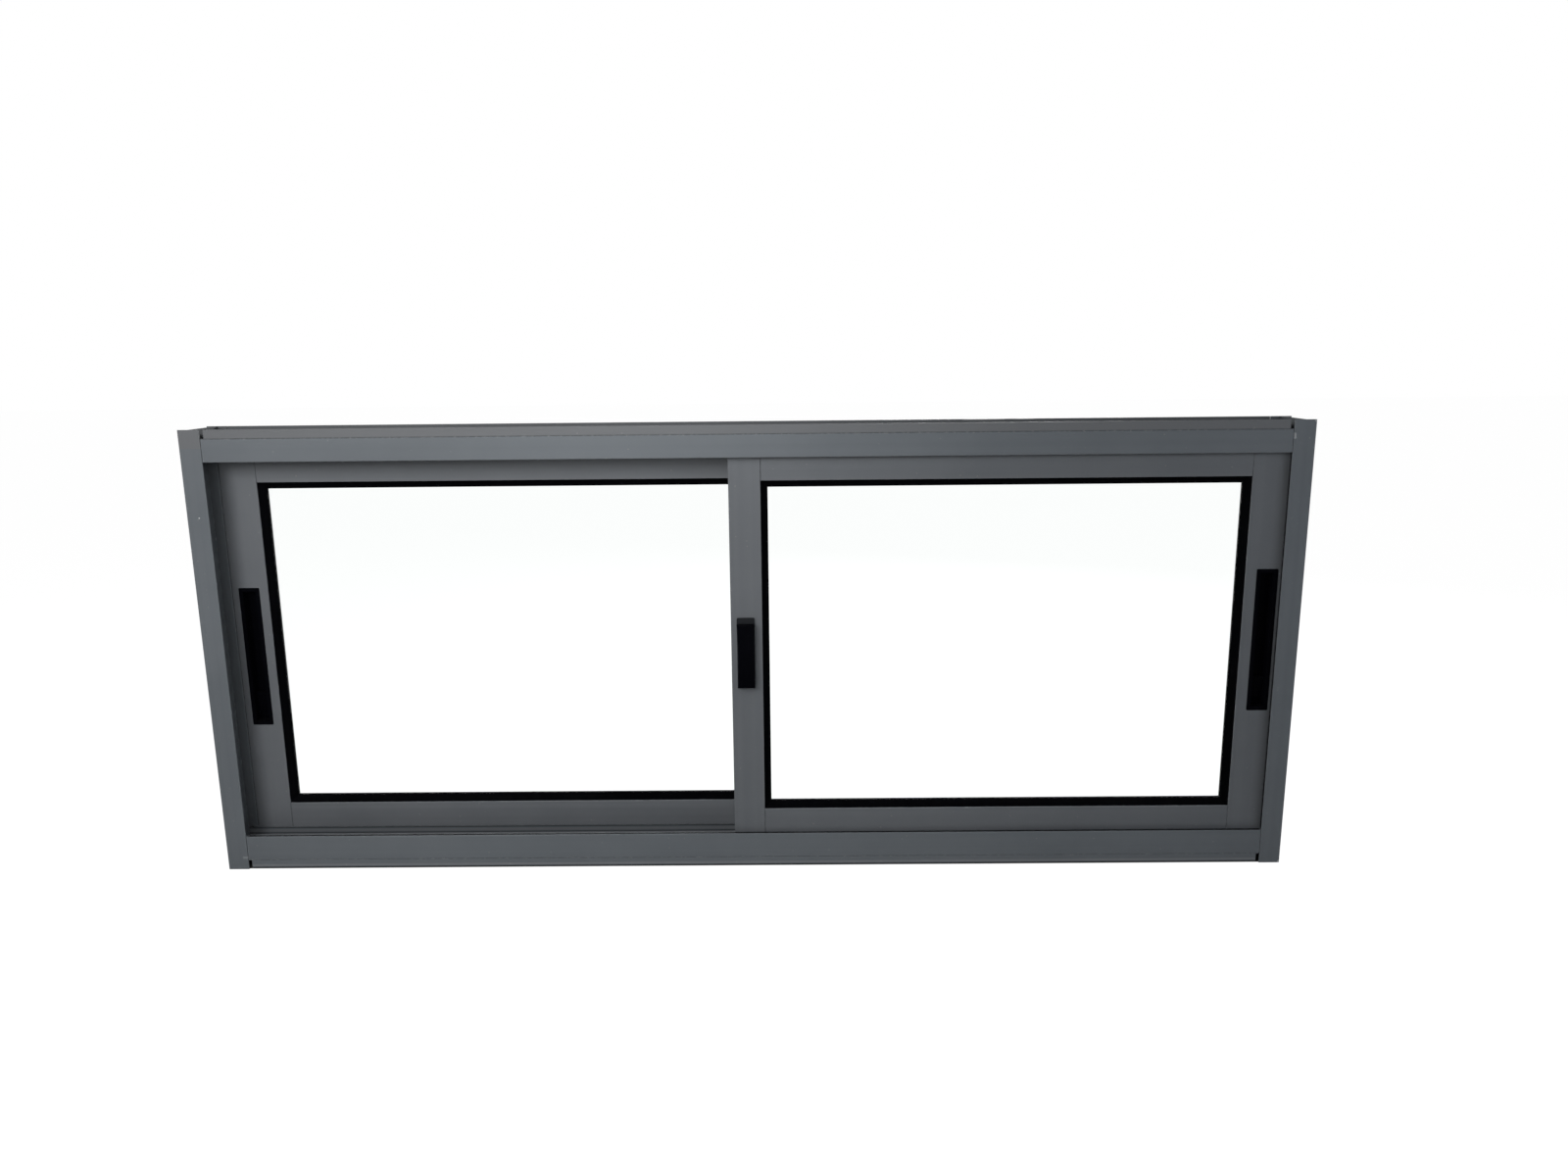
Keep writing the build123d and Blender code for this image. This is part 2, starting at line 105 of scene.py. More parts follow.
class NodeKit:
    """A shader node tree with short calls for adding nodes and joining them."""

    def __init__(self, tree: bpy.types.NodeTree) -> None:
        """Keeps the material's or the group's tree that the calls work on."""
        self.tree = tree

    def join(self, source: Socket, node: bpy.types.Node, label: Any) -> None:
        """Feeds one input of a node, given by its name or its index."""
        self.tree.links.new(source, node.inputs[label])

    def add(self, kind: str, inputs: dict[Any, Any] | None = None, **settings: Any) -> bpy.types.Node:
        """Adds one node.

        Args:
            kind: the node's type name.
            inputs: for each input's name or index, a value or the socket that feeds it.
            **settings: properties of the node itself.

        Returns:
            The new node.
        """
        node = self.tree.nodes.new(kind)
        for name, value in settings.items():
            setattr(node, name, value)
        for label, value in (inputs or {}).items():
            if isinstance(value, Socket):
                self.join(value, node, label)
            else:
                node.inputs[label].default_value = value
        return node

    def math(self, operation: str, first: Any, second: Any = 0.0, clamp: bool = True) -> Socket:
        """Returns the result of a Math node, held within 0 and 1 unless clamp is off."""
        node = self.add("ShaderNodeMath", {0: first, 1: second}, operation=operation, use_clamp=clamp)
        return node.outputs[0]

    def vector(self, operation: str, first: Any, second: Any = (0.0, 0.0, 0.0)) -> bpy.types.Node:
        """Returns a Vector Math node."""
        return self.add("ShaderNodeVectorMath", {0: first, 1: second}, operation=operation)

    def axis(self, place: Socket, label: str) -> Socket:
        """Returns the X, Y or Z of a place."""
        return self.add("ShaderNodeSeparateXYZ", {0: place}).outputs[label]

    def noise(self, place: Socket, scale: Any, detail: float, roughness: float = 0.5) -> Socket:
        """Returns the value of a noise at a place."""
        inputs = {"Vector": place, "Scale": scale, "Detail": detail, "Roughness": roughness}
        return self.add("ShaderNodeTexNoise", inputs).outputs[0]

    def remap(self, value: Any, low: float, high: float, start: float = 0.0, end: float = 1.0) -> Socket:
        """Maps a value smoothly from one range to another.

        Args:
            value: the socket to read.
            low: the value that gives start.
            high: the value that gives end.
            start: the result at low and past it.
            end: the result at high and past it.

        Returns:
            The mapped value's socket.
        """
        inputs = {"Value": value, "From Min": low, "From Max": high, "To Min": start, "To Max": end}
        return self.add("ShaderNodeMapRange", inputs, interpolation_type="SMOOTHSTEP").outputs[0]

    def mix(self, factor: Any, first: Any, second: Any) -> Socket:
        """Mixes two colours.

        Args:
            factor: the second colour's share, a value or a socket.
            first: one colour, a socket or its red, green and blue.
            second: the other colour, given in the same way.

        Returns:
            The mixed colour's socket.
        """
        node = self.add("ShaderNodeMix", {"Factor": factor}, data_type="RGBA")
        sockets = [socket for socket in node.inputs if socket.type == "RGBA"]
        for socket, colour in zip(sockets, (first, second)):
            if isinstance(colour, Socket):
                self.tree.links.new(colour, socket)
            else:
                socket.default_value = (*colour, 1.0)
        return next(socket for socket in node.outputs if socket.type == "RGBA")

    def cover(self, under: Any, over: Any, mask: Socket, share: float) -> Socket:
        """Returns one colour with another laid over it, by a share of a mask."""
        return self.mix(self.math("MULTIPLY", mask, share), under, over)

    def bump(self, height: Socket, strength: float, depth: float) -> Socket:
        """Returns the normal of a surface with a fine relief."""
        inputs = {"Strength": strength, "Distance": depth, "Height": height}
        return self.add("ShaderNodeBump", inputs).outputs[0]

    def group(self, tree: bpy.types.NodeTree, inputs: dict[str, Any]) -> bpy.types.Node:
        """Places a shared node group and feeds its named inputs."""
        return self.add("ShaderNodeGroup", inputs, node_tree=tree)


@dataclass(frozen=True)
class Effects:
    """The surface effects that the finishes share, each one node group built once."""

    edge_wear: bpy.types.NodeTree
    draw_lines: bpy.types.NodeTree
    coat_grain: bpy.types.NodeTree
    dust: bpy.types.NodeTree
    mark: bpy.types.NodeTree

    @classmethod
    def build(cls) -> "Effects":
        """Builds every group once."""
        return cls(edge_wear=cls.make_edge_wear(), draw_lines=cls.make_draw_lines(),
                   coat_grain=cls.make_coat_grain(), dust=cls.make_dust(), mark=cls.make_mark())

    @staticmethod
    def open_group(name: str, vectors: Iterable[str], values: Iterable[str],
                   outputs: Iterable[str]) -> tuple[NodeKit, Any, bpy.types.Node]:
        """Starts a node group with named sockets.

        Args:
            name: the group's name.
            vectors: the names of the inputs that take a vector.
            values: the names of the inputs that take a value.
            outputs: the names of the outputs, all values.
        """
        tree = bpy.data.node_groups.new(name, "ShaderNodeTree")
        for labels, kind in ((vectors, "NodeSocketVector"), (values, "NodeSocketFloat")):
            for label in labels:
                tree.interface.new_socket(label, in_out="INPUT", socket_type=kind)
        for label in outputs:
            tree.interface.new_socket(label, in_out="OUTPUT", socket_type="NodeSocketFloat")
        kit = NodeKit(tree)
        return kit, kit.add("NodeGroupInput").outputs, kit.add("NodeGroupOutput")

    @classmethod
    def make_edge_wear(cls) -> bpy.types.NodeTree:
        """Edges rubbed thin: where a softened normal leaves the true one, broken up by a noise; the whole
        edge also gives a painted highlight.

        Returns:
            The group's tree, which gives the edge, for a painted highlight, and its worn spots.
        """
        kit, given, out = cls.open_group("edge wear and highlight", ("Vector",), ("Width", "Spots", "Amount"),
                                         ("Mask", "Edge"))
        flat, sharp = 0.985, 0.86
        whole, worn_off = 0.46, 0.68
        softened = kit.add("ShaderNodeBevel", {"Radius": given["Width"]}, samples=4).outputs[0]
        true = kit.add("ShaderNodeNewGeometry").outputs["Normal"]
        agreement = kit.vector("DOT_PRODUCT", softened, true).outputs["Value"]
        edge = kit.remap(agreement, flat, sharp)
        spots = kit.noise(given["Vector"], given["Spots"], 4.0, 0.62)
        broken = kit.math("MULTIPLY", edge, kit.remap(spots, whole, worn_off))
        kit.join(kit.math("MULTIPLY", broken, given["Amount"]), out, "Mask")
        kit.join(edge, out, "Edge")
        return kit.tree

    @classmethod
    def make_draw_lines(cls) -> bpy.types.NodeTree:
        """Faint lines along a drawn profile, as fine relief and as slow changes of tone.

        Returns:
            The group's tree.
        """
        kit, given, out = cls.open_group("draw lines", ("Vector", "Stretch"), (), ("Height", "Tone"))
        fine_scale, broad_scale = 1.6, 0.18
        stretched = kit.vector("MULTIPLY", given["Vector"], given["Stretch"]).outputs[0]
        fine = kit.noise(stretched, fine_scale, 3.0)
        broad = kit.noise(stretched, broad_scale, 2.0)
        kit.join(fine, out, "Height")
        kit.join(broad, out, "Tone")
        return kit.tree

    @classmethod
    def make_coat_grain(cls) -> bpy.types.NodeTree:
        """The fine pebbled skin of a stoved coating, with slow clouds of tone.

        Returns:
            The group's tree.
        """
        kit, given, out = cls.open_group("coat grain", ("Vector",), ("Scale",), ("Height", "Cloud"))
        cloud_scale = 7.0
        pebble = kit.noise(given["Vector"], given["Scale"], 2.0, 0.55)
        cloud = kit.noise(given["Vector"], cloud_scale, 5.0, 0.6)
        kit.join(pebble, out, "Height")
        kit.join(cloud, out, "Cloud")
        return kit.tree

    @classmethod
    def make_dust(cls) -> bpy.types.NodeTree:
        """Loose specks, and a thin film that gathers on faces that look up.

        Returns:
            The group's tree.
        """
        kit, given, out = cls.open_group("dust", ("Vector",), ("Scale", "Amount"), ("Specks", "Film"))
        speck_rim, speck_heart = 0.16, 0.06
        empty_share = 0.9
        upright, level = 0.2, 0.95
        drift_scale, swept, settled = 60.0, 0.35, 0.75
        cells = kit.add("ShaderNodeTexVoronoi", {"Vector": given["Vector"], "Scale": given["Scale"]})
        near = kit.remap(cells.outputs["Distance"], speck_rim, speck_heart)
        chosen = kit.add("ShaderNodeSeparateColor", {"Color": cells.outputs["Color"]}).outputs[0]
        rare = kit.math("GREATER_THAN", chosen, empty_share)
        specks = kit.math("MULTIPLY", near, rare)
        normal = kit.add("ShaderNodeNewGeometry").outputs["Normal"]
        upward = kit.remap(kit.axis(normal, "Z"), upright, level)
        drift = kit.noise(given["Vector"], drift_scale, 6.0, 0.7)
        film = kit.math("MULTIPLY", upward, kit.remap(drift, swept, settled))
        for mask, label in ((specks, "Specks"), (film, "Film")):
            kit.join(kit.math("MULTIPLY", mask, given["Amount"]), out, label)
        return kit.tree

    @classmethod
    def make_mark(cls) -> bpy.types.NodeTree:
        """One worn place: a soft box round a centre, with a ragged outline.

        Returns:
            The group's tree.
        """
        kit, given, out = cls.open_group("worn place", ("Vector", "Centre", "Half Size"), ("Grit", "Cover"),
                                         ("Mask",))
        rim, heart = 1.42, 1.22
        away = kit.vector("SUBTRACT", given["Vector"], given["Centre"]).outputs[0]
        share = kit.vector("DIVIDE", away, given["Half Size"]).outputs[0]
        reach = kit.vector("ABSOLUTE", share).outputs[0]
        parts = kit.add("ShaderNodeSeparateXYZ", {0: reach}).outputs
        widest = kit.math("MAXIMUM", parts[0], parts[1], clamp=False)
        widest = kit.math("MAXIMUM", widest, parts[2], clamp=False)
        grit = kit.noise(given["Vector"], given["Grit"], 3.0, 0.7)
        ragged = kit.math("ADD", widest, grit, clamp=False)
        inside = kit.remap(ragged, rim, heart)
        kit.join(kit.math("MULTIPLY", inside, given["Cover"]), out, "Mask")
        return kit.tree


# Finishes


def open_material(name: str) -> tuple[bpy.types.Material, NodeKit, bpy.types.Node, Socket]:
    """Starts a material around one Principled shader.

    Args:
        name: the material's name.

    Returns:
        The material, its node kit, its Principled node and the Object coordinates.
    """
    material = bpy.data.materials.new(name)
    material.use_nodes = True
    kit = NodeKit(material.node_tree)
    shader = next(node for node in kit.tree.nodes if node.type == "BSDF_PRINCIPLED")
    place = kit.add("ShaderNodeTexCoord").outputs["Object"]
    return material, kit, shader, place


def set_sockets(shader: bpy.types.Node, values: dict[str, float]) -> None:
    """Sets the shader's own sockets that are the same all over the surface."""
    for name, value in values.items():
        shader.inputs[name].default_value = value


@dataclass(frozen=True)
class WornPlace:
    """A scratch, nick or burr on the coating, in metres."""

    centre: Triple
    half_size: Triple
    grit: float
    cover: float


@dataclass(frozen=True)
class Stripe:
    """A line of painted shade or painted highlight along a drawn profile, or the dark seam at its end."""

    axis: str
    place: float
    half_width: float
    colour: Colour
    cover: float
    in_track: bool = False

    def mask(self, kit: NodeKit, place: Socket) -> Socket:
        """Makes the stripe's cover: full in its middle and none past its edges.

        Args:
            kit: the node kit of the material.
            place: the Object coordinates.

        Returns:
            The cover's socket.
        """
        away = kit.math("SUBTRACT", kit.axis(place, self.axis), self.place, clamp=False)
        distance = kit.math("ABSOLUTE", away, clamp=False)
        return kit.remap(distance, self.half_width, self.half_width / 2, 0.0, self.cover)


@dataclass(frozen=True)
class CoatedAluminium:
    """Charcoal stoved coating on a drawn aluminium profile, with painted shade in its tracks, painted lines
    of shade and highlight, a painted lighter top band and a painted highlight along its edges.
    """

    name: str
    draw: Draw
    colour: Colour = (0.102, 0.113, 0.124)
    pale: Colour = (0.136, 0.148, 0.160)
    cloud_share: float = 0.35
    line_share: float = 0.22
    # painted light: a lighter, warmer tone laid on the top band of the frame
    painted_top_light: Colour = (0.122, 0.123, 0.127)
    painted_top_light_above: float | None = None
    painted_top_light_fade: float = 0.4 * MM
    painted_top_light_share: float = 0.7
    # painted shade: the darker tone laid inside the tracks
    painted_track_shade: Colour = (0.030, 0.034, 0.038)
    painted_track_shade_cover: float = 0.56
    track_edge: float | None = None
    track_fade: float = 0.3 * MM
    stripes: tuple[Stripe, ...] = ()
    rubbed: Colour = (0.30, 0.30, 0.31)
    wear: float = 0.5
    wear_spots: float = 220.0
    edge_width: float = 0.9 * MM
    # painted highlight: how far every edge is lightened
    painted_edge_highlight_share: float = 0.22
    bare: Colour = (0.82, 0.82, 0.8)
    worn_places: tuple[WornPlace, ...] = ()
    dusty: Colour = (0.30, 0.29, 0.28)
    dust: float = 0.55
    dust_scale: float = 170.0
    film_share: float = 0.16
    film_roughness: float = 0.2
    speck_share: float = 0.5
    roughness: float = 0.46
    smoother: float = 0.05
    rougher: float = 0.07
    specular: float = 0.18
    grain_scale: float = 1500.0
    grain_relief: float = 0.6
    line_relief: float = 0.4
    relief: float = 0.22
    relief_depth: float = 0.12 * MM

    def build(self, effects: Effects) -> bpy.types.Material:
        """Makes the material.

        Args:
            effects: the shared effect groups.

        Returns:
            The finished material.
        """
        material, kit, shader, place = open_material(self.name)
        lines = kit.group(effects.draw_lines, {"Vector": place, "Stretch": self.draw.value})
        grain = kit.group(effects.coat_grain, {"Vector": place, "Scale": self.grain_scale})
        wear = kit.group(effects.edge_wear, {"Vector": place, "Width": self.edge_width,
                                             "Spots": self.wear_spots, "Amount": self.wear})
        dust = kit.group(effects.dust, {"Vector": place, "Scale": self.dust_scale, "Amount": self.dust})
        cloud, film = grain.outputs["Cloud"], dust.outputs["Film"]
        clouds = kit.math("MULTIPLY", kit.remap(cloud, *NOISE_SPAN), self.cloud_share)
        streaks = kit.math("MULTIPLY", kit.remap(lines.outputs["Tone"], *NOISE_SPAN), self.line_share)
        colour = kit.mix(kit.math("ADD", clouds, streaks), self.colour, self.pale)
        # painted light: the band above the given height turns lighter and warmer
        if self.painted_top_light_above is not None:
            band = kit.remap(kit.axis(place, "Z"), self.painted_top_light_above, self.painted_top_light_above + self.painted_top_light_fade)
            colour = kit.cover(colour, self.painted_top_light, band, self.painted_top_light_share)
        colour = self.line_profile(kit, place, colour)
        # painted highlight: every edge is lightened towards the pale tone
        colour = kit.cover(colour, self.pale, wear.outputs["Edge"], self.painted_edge_highlight_share)
        colour = kit.mix(wear.outputs["Mask"], colour, self.rubbed)
        for worn in self.worn_places:
            mark = kit.group(effects.mark, {"Vector": place, "Centre": worn.centre, "Cover": worn.cover,
                                            "Half Size": worn.half_size, "Grit": worn.grit})
            colour = kit.mix(mark.outputs["Mask"], colour, self.bare)
        colour = kit.cover(colour, self.dusty, film, self.film_share)
        colour = kit.cover(colour, self.dusty, dust.outputs["Specks"], self.speck_share)
        kit.join(colour, shader, "Base Color")
        gloss = kit.remap(cloud, *NOISE_SPAN, self.roughness - self.smoother, self.roughness + self.rougher)
        gloss = kit.math("ADD", gloss, kit.math("MULTIPLY", film, self.film_roughness))
        kit.join(gloss, shader, "Roughness")
        relief = kit.math("ADD", kit.math("MULTIPLY", grain.outputs["Height"], self.grain_relief),
                          kit.math("MULTIPLY", lines.outputs["Height"], self.line_relief))
        kit.join(kit.bump(relief, self.relief, self.relief_depth), shader, "Normal")
        set_sockets(shader, {"Specular IOR Level": self.specular})
        return material

    def line_profile(self, kit: NodeKit, place: Socket, colour: Socket) -> Socket:
        """Paints shade inside the tracks and draws the stripes, lines of painted shade and highlight or dark
        seams, inside and outside them.

        Args:
            kit: the node kit of the material.
            place: the Object coordinates.
            colour: the coating's colour so far.

        Returns:
            The colour with the tracks and the stripes.
        """
        inside: Any = 0.0
        if self.track_edge is not None:
            middle = kit.axis(kit.vector("ABSOLUTE", place).outputs[0], "Y")
            inside = kit.remap(middle, self.track_edge, self.track_edge - self.track_fade)
            # painted shade inside the tracks
            colour = kit.cover(colour, self.painted_track_shade, inside, self.painted_track_shade_cover)
        for stripe in self.stripes:
            where = inside if stripe.in_track else kit.math("SUBTRACT", 1.0, inside)
            colour = kit.mix(kit.math("MULTIPLY", where, stripe.mask(kit, place)), colour, stripe.colour)
        return colour


@dataclass(frozen=True)
class ClearGlass:
    """Float glass that lets the lamps through."""

    name: str = "clear glass"
    tint: Colour = (0.975, 0.992, 0.984)
    index: float = 1.5
    dust: float = 0.35
    dust_scale: float = 140.0
    speck: Colour = (0.86, 0.87, 0.86)
    speck_roughness: float = 0.25
    shadow_tint: Colour = (0.93, 0.95, 0.94)

    def build(self, effects: Effects) -> bpy.types.Material:
        """Makes the material: a Principled glass, clear to the rays of lamps.

        Args:
            effects: the shared effect groups.

        Returns:
            The finished material.
        """
        material, kit, shader, place = open_material(self.name)
        set_sockets(shader, {"Transmission Weight": 1.0, "IOR": self.index})
        dust = kit.group(effects.dust, {"Vector": place, "Scale": self.dust_scale, "Amount": self.dust})
        specks = dust.outputs["Specks"]
        kit.join(kit.mix(specks, self.tint, self.speck), shader, "Base Color")
        kit.join(kit.remap(specks, 0.0, 1.0, 0.0, self.speck_roughness), shader, "Roughness")
        rays = kit.add("ShaderNodeLightPath").outputs["Is Shadow Ray"]
        open_way = kit.add("ShaderNodeBsdfTransparent", {"Color": (*self.shadow_tint, 1.0)}).outputs[0]
        both = kit.add("ShaderNodeMixShader", {0: rays, 1: shader.outputs[0], 2: open_way}).outputs[0]
        out = next(node for node in kit.tree.nodes if node.type == "OUTPUT_MATERIAL")
        kit.join(both, out, "Surface")
        return material


@dataclass(frozen=True)
class Moulded:
    """Rubber, nylon or plastic: a moulded skin with rubbed edges, a painted highlight along every edge, and
    dust.
    """

    name: str
    colour: Colour
    rubbed: Colour
    roughness: float = 0.5
    specular: float = 0.4
    grain: float = 2200.0
    relief: float = 0.1
    relief_depth: float = 0.1 * MM
    wear: float = 0.35
    wear_spots: float = 300.0
    edge_width: float = 0.5 * MM
    # painted highlight: how far every edge is lightened towards the rubbed tone
    painted_edge_highlight_share: float = 0.25
    cloud_share: float = 0.3
    dusty: Colour = (0.3, 0.29, 0.27)
    dust: float = 0.5
    dust_scale: float = 260.0
    film_share: float = 0.12
    speck_share: float = 0.4
    smoother: float = 0.06
    rougher: float = 0.08

    def build(self, effects: Effects) -> bpy.types.Material:
        """Makes the material.

        Args:
            effects: the shared effect groups.

        Returns:
            The finished material.
        """
        material, kit, shader, place = open_material(self.name)
        grain = kit.group(effects.coat_grain, {"Vector": place, "Scale": self.grain})
        wear = kit.group(effects.edge_wear, {"Vector": place, "Width": self.edge_width,
                                             "Spots": self.wear_spots, "Amount": self.wear})
        dust = kit.group(effects.dust, {"Vector": place, "Scale": self.dust_scale, "Amount": self.dust})
        cloud = grain.outputs["Cloud"]
        colour = kit.cover(self.colour, self.rubbed, kit.remap(cloud, *NOISE_SPAN), self.cloud_share)
        # painted highlight: every edge is lightened towards the rubbed tone
        colour = kit.cover(colour, self.rubbed, wear.outputs["Edge"], self.painted_edge_highlight_share)
        colour = kit.mix(wear.outputs["Mask"], colour, self.rubbed)
        colour = kit.cover(colour, self.dusty, dust.outputs["Film"], self.film_share)
        colour = kit.cover(colour, self.dusty, dust.outputs["Specks"], self.speck_share)
        kit.join(colour, shader, "Base Color")
        gloss = kit.remap(cloud, *NOISE_SPAN, self.roughness - self.smoother, self.roughness + self.rougher)
        kit.join(gloss, shader, "Roughness")
        kit.join(kit.bump(grain.outputs["Height"], self.relief, self.relief_depth), shader, "Normal")
        set_sockets(shader, {"Specular IOR Level": self.specular})
        return material


@dataclass(frozen=True)
class PlatedSteel:
    """Zinc-plated steel of the screws."""

    name: str = "plated screws"
    colour: Colour = (0.42, 0.42, 0.41)
    stained: Colour = (0.24, 0.23, 0.2)
    stain_scale: float = 700.0
    stain_span: Pair = (0.45, 0.7)
    roughness: Pair = (0.3, 0.5)
    metallic: float = 0.9
    grain_scale: float = 1800.0
    relief: float = 0.15
    relief_depth: float = 0.05 * MM

    def build(self, effects: Effects) -> bpy.types.Material:
        """Makes the material.

        Args:
            effects: the shared effect groups.

        Returns:
            The finished material.
        """
        material, kit, shader, place = open_material(self.name)
        grain = kit.group(effects.coat_grain, {"Vector": place, "Scale": self.grain_scale})
        stains = kit.noise(place, self.stain_scale, 5.0)
        colour = kit.mix(kit.remap(stains, *self.stain_span), self.colour, self.stained)
        kit.join(colour, shader, "Base Color")
        kit.join(kit.remap(stains, *NOISE_SPAN, *self.roughness), shader, "Roughness")
        kit.join(kit.bump(grain.outputs["Height"], self.relief, self.relief_depth), shader, "Normal")
        set_sockets(shader, {"Metallic": self.metallic})
        return material


# Tools for pieces


def unique(items: Iterable[Any]) -> list[Any]:
    """Returns each item once, in the order in which they come."""
    return list(dict.fromkeys(items))


def add_object(name: str, data: bpy.types.ID) -> bpy.types.Object:
    """Puts a mesh, a lamp or a camera into the scene.

    Args:
        name: the object's name.
        data: what the object shows.

    Returns:
        The new object, at the origin.
    """
    holder = bpy.data.objects.new(name, data)
    bpy.context.scene.collection.objects.link(holder)
    return holder


def finish_piece(mesh: bmesh.types.BMesh, name: str, material: bpy.types.Material) -> bpy.types.Object:
    """Turns a built mesh into a piece of the window.

    Args:
        mesh: the mesh, with its place in its vertices.
        name: the piece's name.
        material: its finish.

    Returns:
        The new object, riding on the window's body.
    """
    data = bpy.data.meshes.new(name)
    mesh.to_mesh(data)
    mesh.free()
    data.materials.append(material)
    piece = add_object(name, data)
    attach(piece, BODY)
    log.info("%s: %d faces", name, len(data.polygons))
    return piece


def dress(nodes: Iterable[str], material: bpy.types.Material) -> None:
    """Gives nodes of the frame their finish.

    Args:
        nodes: the nodes' names.
        material: the finish.
    """
    for name in nodes:
        piece = bpy.data.objects[name]
        for holder in piece.material_slots:
            holder.material = material
        log.info("%s: %s", name, material.name)


def add_box(mesh: bmesh.types.BMesh, low: Vector, high: Vector, rounding: float) -> None:
    """Adds a block with rounded edges.

    Args:
        mesh: the mesh to fill.
        low: the block's lowest corner.
        high: its highest corner.
        rounding: the radius of its edges.
    """
    place = Matrix.Translation((low + high) / 2) @ Matrix.Diagonal((*(high - low), 1.0))
    made = bmesh.ops.create_cube(mesh, size=1.0, matrix=place)
    edges = unique(edge for vert in made["verts"] for edge in vert.link_edges)
    bmesh.ops.bevel(mesh, geom=edges, offset=rounding, segments=2, profile=0.5, affect="EDGES", material=-1)


def repeat(mesh: bmesh.types.BMesh, step: Vector, count: int) -> None:
    """Repeats all that a mesh holds along a line, by copying what is there already.

    Args:
        mesh: the mesh to fill.
        step: the way from one copy to the next.
        count: how many there are in the end.
    """
    faces_each = len(mesh.faces)
    made = 1
    while made < count:
        taken = min(made, count - made)
        mesh.faces.ensure_lookup_table()
        copied = bmesh.ops.duplicate(mesh, geom=mesh.faces[:taken * faces_each])
        moved = [item for item in copied["geom"] if isinstance(item, bmesh.types.BMVert)]
        bmesh.ops.translate(mesh, verts=moved, vec=step * made)
        made += taken


# Pieces


@dataclass
class BrushSeal:
    """A woven strip with pile that stands from the frame towards a sash's face."""

    node: str
    backing: float = 0.9 * MM
    backing_rounding: float = 0.225 * MM
    hair_radius: float = 0.22 * MM
    hair_taper: float = 0.45
    pitch: float = 0.62 * MM
    stagger: Pair = (0.25, 0.5)
    stray: float = 0.35 * MM
    stray_scale: float = 900.0
    stray_seed: int = 3
    fin_thickness: float = 0.12 * MM
    fin_rounding: float = 0.024 * MM
    fin_share: float = 0.86

    def build(self, pile: bpy.types.Material) -> bpy.types.Object:
        """Builds the strip, its rows of hairs and the fin between them.

        Args:
            pile: the black pile's finish.

        Returns:
            The piece, which stands for the seal's plain solid.
        """
        low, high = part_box(self.node)
        size = high - low
        run = 0 if size.x > size.z else 2
        across = 2 - run
        rows = int(size[across] / self.pitch)
        count = int(size[run] / self.pitch)
        step = Vector((0.0, 0.0, 0.0))
        step[run] = size[run] / count
        mesh = bmesh.new()
        for row in range(rows):
            root = low.copy()
            root.y += self.backing
            root[run] += step[run] * self.stagger[row % 2]
            root[across] += size[across] * (row + 0.5) / rows
            self.add_hair(mesh, root, size.y - self.backing)
        repeat(mesh, step, count)
        self.ruffle(mesh, low.y + self.backing)
        self.add_strip(mesh, low, high, across)
        piece = finish_piece(mesh, self.node + "_pile", pile)
        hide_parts(self.node)
        return piece

    def add_hair(self, mesh: bmesh.types.BMesh, root: Vector, length: float) -> None:
        """Adds one tapered tuft that stands along +Y.

        Args:
            mesh: the mesh to fill.
            root: the middle of the tuft's foot.
            length: how far it stands out.
        """
        turned = Matrix.Rotation(-math.pi / 2, 4, "X")
        place = Matrix.Translation(root + Vector((0.0, length / 2, 0.0))) @ turned
        bmesh.ops.create_cone(mesh, cap_ends=False, segments=3, radius1=self.hair_radius,
                              radius2=self.hair_radius * self.hair_taper, depth=length, matrix=place)

    def ruffle(self, mesh: bmesh.types.BMesh, root_y: float) -> None:
        """Leans the tips a little, each tuft its own way.

        Args:
            mesh: the mesh with all its tufts.
            root_y: where the tufts start.
        """
        noise.seed_set(self.stray_seed)
        for vert in mesh.verts:
            if vert.co.y > root_y + self.hair_radius:
                lean = noise.noise_vector(vert.co * self.stray_scale)
                vert.co += Vector((lean.x, -abs(lean.y), lean.z)) * self.stray

    def add_strip(self, mesh: bmesh.types.BMesh, low: Vector, high: Vector, across: int) -> None:
        """Adds the woven backing and the thin fin in the middle of the pile.

        Args:
            mesh: the mesh to fill.
            low: the seal's lowest corner.
            high: its highest corner.
            across: the index of the axis over the strip's width.
        """
        back = high.copy()
        back.y = low.y + self.backing
        add_box(mesh, low, back, self.backing_rounding)
        middle = (low[across] + high[across]) / 2
        fin_low, fin_high = low.copy(), high.copy()
        fin_low[across] = middle - self.fin_thickness / 2
        fin_high[across] = middle + self.fin_thickness / 2
        fin_high.y = low.y + (high.y - low.y) * self.fin_share
        add_box(mesh, fin_low, fin_high, self.fin_rounding)


